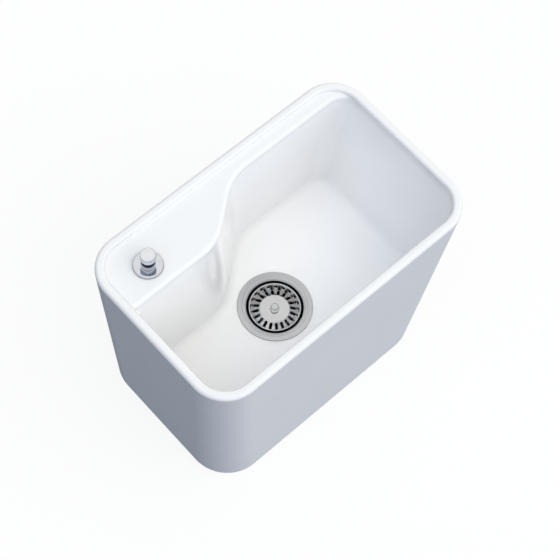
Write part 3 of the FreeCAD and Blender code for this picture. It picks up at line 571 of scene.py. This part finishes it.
def glaze_outside(obj):
    """Give the outside of the trough, from below the rim's edge, its own glaze: a bluer tone as painted cool
    shade, and no gloss.
    """
    # Painted shade: the outside's tone is bluer than the inside's, standing in for the cool light on the
    # outer walls.
    obj.data.materials.append(glaze("outer_glaze_painted_cool", (0.815, 0.825, 0.845), 0.25, 0.0))
    x, y, z = read_vectors(obj.data.polygons, "center").T / MM
    outer = (outside(x, y, z) > -OUTSIDE_DEPTH) & (z < HEIGHT - GLAZE_EDGE_DROP)
    obj.data.polygons.foreach_set("material_index", outer.astype(np.int32))


def polar(m, place):
    """Radius from the object's upright axis and the direction round it."""
    split = m.add("ShaderNodeSeparateXYZ")
    m.link(place, split.inputs[0])
    x, y = split.outputs["X"], split.outputs["Y"]
    radius = m.math("SQRT", m.math("ADD", m.math("MULTIPLY", x, x), m.math("MULTIPLY", y, y)))
    around = m.add("ShaderNodeCombineXYZ")
    m.link(m.math("MULTIPLY", y, -1.0), around.inputs["X"])
    m.link(x, around.inputs["Y"])
    return radius, around.outputs[0], split.outputs["Z"]


def spun_steel(name, centre, color, rough, anisotropic, grain, painted_shade=None):
    """Steel brushed in circles about an upright axis; between the two heights of its last argument it darkens
    going down, painted shade in the drain.
    """
    m = Nodes(name)
    place = m.place((centre[0] * MM, centre[1] * MM, 0))
    radius, around, height = polar(m, place)
    line = m.add("ShaderNodeCombineXYZ")
    m.link(radius, line.inputs["X"])
    m.link(height, line.inputs["Y"])
    strokes = m.noise(line.outputs[0], 2600.0, 5.0, 0.7)
    dark = tuple(c * 0.82 for c in color)
    tint = m.colors(strokes, [(0.3, dark), (0.7, color)])
    # Painted shade: the tint falls towards near black going down between the two heights.
    if painted_shade:
        tint = m.darkened(tint, m.remap(height, painted_shade[0] * MM, painted_shade[1] * MM, 0.03, 1.0))
    m.to(tint, "Base Color")
    m.to(m.remap(strokes, 0.35, 0.65, rough * 0.85, rough * 1.2), "Roughness")
    m.set(Metallic=1.0, Anisotropic=anisotropic)
    m.link(around, m.shader.inputs["Tangent"])
    m.bump(strokes, grain, 0.00005)
    return m.material


def polished(name, color, rough, painted_bands=None):
    """Polished metal with a breath of haze; its last argument gives tones by height, low to high, painted
    over it as reflections and shade.
    """
    m = Nodes(name)
    place = m.place()
    haze = m.noise(place, 120.0, 4.0)
    tint = m.colors(haze, [(0.3, tuple(c * 0.94 for c in color)), (0.7, color)])
    # Painted reflections and painted shade: the tint is multiplied by tones that change with height.
    if painted_bands:
        split = m.add("ShaderNodeSeparateXYZ")
        m.link(place, split.inputs[0])
        low, high = painted_bands[0][0], painted_bands[-1][0]
        level = m.remap(split.outputs["Z"], low * MM, high * MM, 0.0, 1.0)
        stops = [((height - low) / (high - low), tone) for height, tone in painted_bands]
        tint = m.darkened(tint, m.colors(level, stops))
    m.to(tint, "Base Color")
    m.to(m.remap(haze, 0.3, 0.7, rough * 0.6, rough * 1.6), "Roughness")
    m.set(Metallic=1.0)
    return m.material


def soft_grain(name, color, rough, scale, strength, sheen=0.0, mottled=0.12):
    """Moulded plastic or rubber: mottled tint, moulding grain, uneven gloss."""
    m = Nodes(name)
    place = m.place()
    cloud = m.noise(place, 30.0, 3.0)
    dark = tuple(c * (1 - mottled) for c in color)
    m.to(m.colors(cloud, [(0.3, dark), (0.7, color)]), "Base Color")
    grain = m.noise(place, scale, 3.0)
    m.to(m.remap(grain, 0.3, 0.7, rough * 0.85, min(rough * 1.2, 1.0)), "Roughness")
    m.set(Sheen_Weight=sheen)
    m.bump(grain, strength, 0.0002)
    return m.material


# ---- pieces -------------------------------------------------------------------------------------
def dress(node, material):
    """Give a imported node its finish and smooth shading."""
    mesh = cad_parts[node].data
    mesh.materials.clear()
    mesh.materials.append(material)
    smooth_shaded(mesh)


# The last pair of each is the heights between which painted shade darkens the steel, going down into the
# drain.
steel_floor = spun_steel("flange_steel", WASTE, (0.6, 0.6, 0.605), 0.3, 0.8, 0.2, (106.0, 119.0))
steel_basket = spun_steel("basket_steel", WASTE, (0.66, 0.66, 0.665), 0.2, 0.5, 0.15, (98.0, 109.0))
steel_small = polished("small_steel", (0.6, 0.6, 0.6), 0.14)
# Painted shade: a darker copy of the polished steel for the basket's stem and plug plate, deep in the drain.
steel_painted_shade = polished("steel_in_painted_shade", (0.2, 0.2, 0.2), 0.3)
# Tones of the chrome by height: painted reflections in the bright bands, painted shade in the dark ones,
# darkest at the neck under the knob's cap.
PAINTED_CHROME_LIGHT = [
    (344.9, (0.2, 0.22, 0.26)), (346.0, (0.3, 0.32, 0.37)), (347.0, (0.62, 0.64, 0.68)),
    (348.05, (0.86, 0.88, 0.9)), (348.35, (0.22, 0.24, 0.3)), (350.0, (0.5, 0.53, 0.6)),
    (353.0, (0.8, 0.84, 0.92)), (354.4, (0.3, 0.33, 0.4)), (356.0, (0.08, 0.09, 0.12)),
    (358.5, (0.16, 0.18, 0.24)), (362.0, (0.6, 0.65, 0.74)), (365.0, (0.3, 0.33, 0.4)),
    (367.5, (0.5, 0.54, 0.62)), (371.0, (0.86, 0.89, 0.95)), (375.6, (0.7, 0.73, 0.78)),
    (377.0, (0.5, 0.53, 0.58)), (377.4, (0.96, 0.97, 0.98)),
]
chrome = polished("chrome_plate", (0.86, 0.865, 0.875), 0.05, PAINTED_CHROME_LIGHT)
brass = polished("turned_brass", (0.72, 0.56, 0.28), 0.2)
rubber = soft_grain("black_rubber", (0.03, 0.03, 0.031), 0.62, 700.0, 0.25, 0.1)
plastic = soft_grain("moulded_plastic", (0.74, 0.74, 0.73), 0.42, 1200.0, 0.12, 0.0, 0.05)
casing = soft_grain("casing_plastic", (0.022, 0.022, 0.024), 0.32, 900.0, 0.1)
wire = polished("drawn_wire", (0.6, 0.6, 0.59), 0.24)

FINISH = {
    "basket_stem": steel_painted_shade, "plug_plate": steel_painted_shade, "plug_seal": rubber, "flange_gasket": rubber,
    "body_gasket": rubber, "waste_collar": plastic, "waste_spider": plastic, "waste_body": plastic,
    "shaft_boss": plastic, "casing_holder": plastic, "outlet_tail": plastic, "cup_spider": steel_floor,
    "centre_screw": steel_small, "lift_pin": steel_small,
    "crank_shaft": brass, "shaft_seal": rubber, "crank_arm": plastic, "arm_screw": steel_small,
    "lower_wire": wire, "upper_wire": wire, "lower_ferrule": brass, "upper_ferrule": brass,
    "wire_casing": casing, "sleeve_end_cap": plastic, "rosette_gasket": rubber, "sleeve_washer": rubber,
    "lock_nut": brass, "knob_spindle": brass,
}
for node_name, finish in FINISH.items():
    dress(node_name, finish)


def stand_for(obj, node, body_name, finish):
    """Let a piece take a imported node's place."""
    obj.data.materials.clear()
    obj.data.materials.append(finish)
    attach(obj, body_name)
    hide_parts(node)


CUP = [
    (40.3, 85.0), (42.7, 85.0), (44.5, 87.2, 2.0), (44.5, 121.0, 0.5), (57.0, 121.0, 0.2),
    (57.0, 122.2, 0.7), (50.0, 122.5, 0.5), (48.9, 121.7, 0.4), (46.4, 121.6, 1.0),
    (43.3, 119.4, 1.5), (43.3, 88.0, 2.0),
]
stand_for(turned("steel_cup", CUP, WASTE, 160), "strainer_flange", "sink", steel_floor)
stand_for(pressed_basket(), "strainer_basket", "basket", steel_basket)
BUTTON = [
    (0.0, 112.9), (7.1, 112.9, 0.3), (7.2, 114.0, 0.5), (4.6, 115.0, 1.2), (3.3, 116.6, 1.0),
    (5.9, 118.1, 0.9), (6.2, 119.4, 0.9), (4.6, 120.6, 1.2), (2.2, 120.75, 0.6), (0.0, 120.5),
]
stand_for(turned("button", BUTTON, WASTE, 64), "basket_button", "basket", steel_small)
PLATE = [
    (9.05, 345.0), (21.7, 345.0, 0.1), (21.7, 346.2, 0.5), (20.6, 347.5, 0.8), (18.6, 348.0, 1.5),
    (9.05, 348.0),
]
stand_for(turned("cover_plate", PLATE, KNOB, 128), "rosette", "sink", chrome)
SLEEVE = [
    (5.05, 304.0), (9.0, 304.0, 0.6), (9.0, 348.0), (10.4, 348.0, 0.2), (10.4, 353.6, 0.5),
    (9.6, 354.6, 0.5), (9.2, 355.9, 0.6), (7.25, 356.0, 0.2), (7.25, 349.7), (5.05, 349.7),
]
stand_for(turned("collar_sleeve", SLEEVE, KNOB, 128), "guide_sleeve", "sink", chrome)
KNOB_TURN = [
    (5.05, 350.0), (7.2, 350.0, 0.2), (7.2, 358.2, 1.5), (7.9, 364.4, 1.5), (10.1, 366.3, 0.8),
    (11.4, 367.4, 0.8), (11.4, 376.0, 1.2), (10.3, 377.35, 1.4), (0.0, 377.4), (0.0, 371.5), (5.05, 371.5),
]
stand_for(turned("turned_knob", KNOB_TURN, KNOB, 128), "pull_knob", "knob", chrome)

body = glazed_trough()
body.data.materials.clear()
# The last value, 1.14, is painted light: the bowl below the deck is drawn brighter.
body.data.materials.append(glaze("glaze", (0.825, 0.825, 0.83), 0.07, 0.5, 1.14))
glaze_outside(body)
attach(body, "sink")
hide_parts("basin")


# ---- stage, light and camera --------------------------------------------------------------------
def stage_floor():
    """Plain white floor that keeps a soft shadow and throws little light back."""
    spots = ((-1, -1), (1, -1), (1, 1), (-1, 1))
    corners = [(x * FLOOR_SIZE, y * FLOOR_SIZE, -FLOOR_DROP) for x, y in spots]
    floor = mesh_object("stage_floor", corners, [(0, 1, 2, 3)])
    m = Nodes("floor_white")
    m.material.cycles.emission_sampling = "NONE"
    m.tree.nodes.remove(m.shader)
    path = m.add("ShaderNodeLightPath")
    seen = m.math("ADD", path.outputs["Is Camera Ray"], path.outputs["Is Glossy Ray"])
    seen = m.math("MINIMUM", m.math("ADD", seen, path.outputs["Is Transmission Ray"]), 1.0)
    matte = m.add("ShaderNodeBsdfDiffuse")
    m.link(m.colors(seen, [(0.0, FLOOR_BOUNCE), (1.0, FLOOR_TONE)]), matte.inputs["Color"])
    glow = m.add("ShaderNodeEmission", Color=(1, 1, 1, 1), Strength=1.0)
    mixed = m.add("ShaderNodeMixShader")
    m.link(m.math("MULTIPLY", seen, FLOOR_GLOW), mixed.inputs[0])
    m.link(matte.outputs[0], mixed.inputs[1])
    m.link(glow.outputs[0], mixed.inputs[2])
    m.link(mixed.outputs[0], m.out.inputs["Surface"])
    floor.data.materials.append(m.material)


def world_light(lobes):
    """Surround that is white where seen and lights from lobes: azimuth, height, sharpness, colour."""
    world = bpy.data.worlds.new("studio")
    bpy.context.scene.world = world
    world.use_nodes = True
    tree = world.node_tree
    tree.nodes.clear()

    def add(kind, operation=None):
        node = tree.nodes.new(kind)
        if operation:
            node.operation = operation
        return node

    out = add("ShaderNodeOutputWorld")
    path = add("ShaderNodeLightPath")
    seen = path.outputs["Is Camera Ray"]
    for kind in ("Is Glossy Ray", "Is Transmission Ray"):
        more = add("ShaderNodeMath", "ADD")
        more.use_clamp = True
        tree.links.new(seen, more.inputs[0])
        tree.links.new(path.outputs[kind], more.inputs[1])
        seen = more.outputs[0]
    coord = add("ShaderNodeTexCoord")
    total = None
    for azimuth, height, sharpness, color in lobes:
        azimuth, height = math.radians(azimuth), math.radians(height)
        facing = add("ShaderNodeVectorMath", "DOT_PRODUCT")
        tree.links.new(coord.outputs["Generated"], facing.inputs[0])
        facing.inputs[1].default_value = (
            math.cos(azimuth) * math.cos(height), math.sin(azimuth) * math.cos(height), math.sin(height))
        ahead = add("ShaderNodeMath", "MAXIMUM")
        tree.links.new(facing.outputs["Value"], ahead.inputs[0])
        ahead.inputs[1].default_value = 0.0
        shape = add("ShaderNodeMath", "POWER")
        tree.links.new(ahead.outputs[0], shape.inputs[0])
        shape.inputs[1].default_value = sharpness
        tinted = add("ShaderNodeVectorMath", "SCALE")
        tinted.inputs[0].default_value = color
        tree.links.new(shape.outputs[0], tinted.inputs["Scale"])
        if total is None:
            total = tinted.outputs[0]
        else:
            both = add("ShaderNodeVectorMath", "ADD")
            tree.links.new(total, both.inputs[0])
            tree.links.new(tinted.outputs[0], both.inputs[1])
            total = both.outputs[0]
    dim = add("ShaderNodeBackground")
    tree.links.new(total, dim.inputs["Color"])
    white = add("ShaderNodeBackground")
    white.inputs["Color"].default_value = (1, 1, 1, 1)
    mixed = add("ShaderNodeMixShader")
    tree.links.new(seen, mixed.inputs[0])
    tree.links.new(dim.outputs[0], mixed.inputs[1])
    tree.links.new(white.outputs[0], mixed.inputs[2])
    tree.links.new(mixed.outputs[0], out.inputs["Surface"])


def camera():
    """The photograph's viewpoint."""
    data = bpy.data.cameras.new("camera")
    data.sensor_width = SENSOR
    data.lens = FOCAL_PIXELS * SENSOR / FRAME_PIXELS
    data.clip_end = 30.0
    right = Vector((0.73976053, -0.6703391, 0.05830818))
    up = Vector((0.58839412, 0.68649072, 0.42722693))
    back = Vector((-0.32641494, -0.28173743, 0.90226233))
    turn = Matrix((right, up, back)).transposed()
    obj = bpy.data.objects.new("camera", data)
    bpy.context.scene.collection.objects.link(obj)
    obj.matrix_world = Matrix.Translation(VIEWPOINT) @ turn.to_4x4()
    bpy.context.scene.camera = obj


LOBES = [
    (0, 90, 4, (1.15, 1.11, 1.05)), (270, 25, 4, (0.5, 0.58, 0.9)), (315, 25, 4, (1.2, 1.3, 1.25)),
    (180, 55, 8, (0.5, 0.75, 1.1)), (270, 55, 8, (1.58, 1.42, 1.08)), (55, 0, 4, (1.3, 1.33, 1.4)),
    (190, 5, 4, (0.34, 0.35, 0.35)),
]
stage_floor()
world_light(LOBES)
camera()
bpy.context.scene.view_settings.view_transform = "Standard"
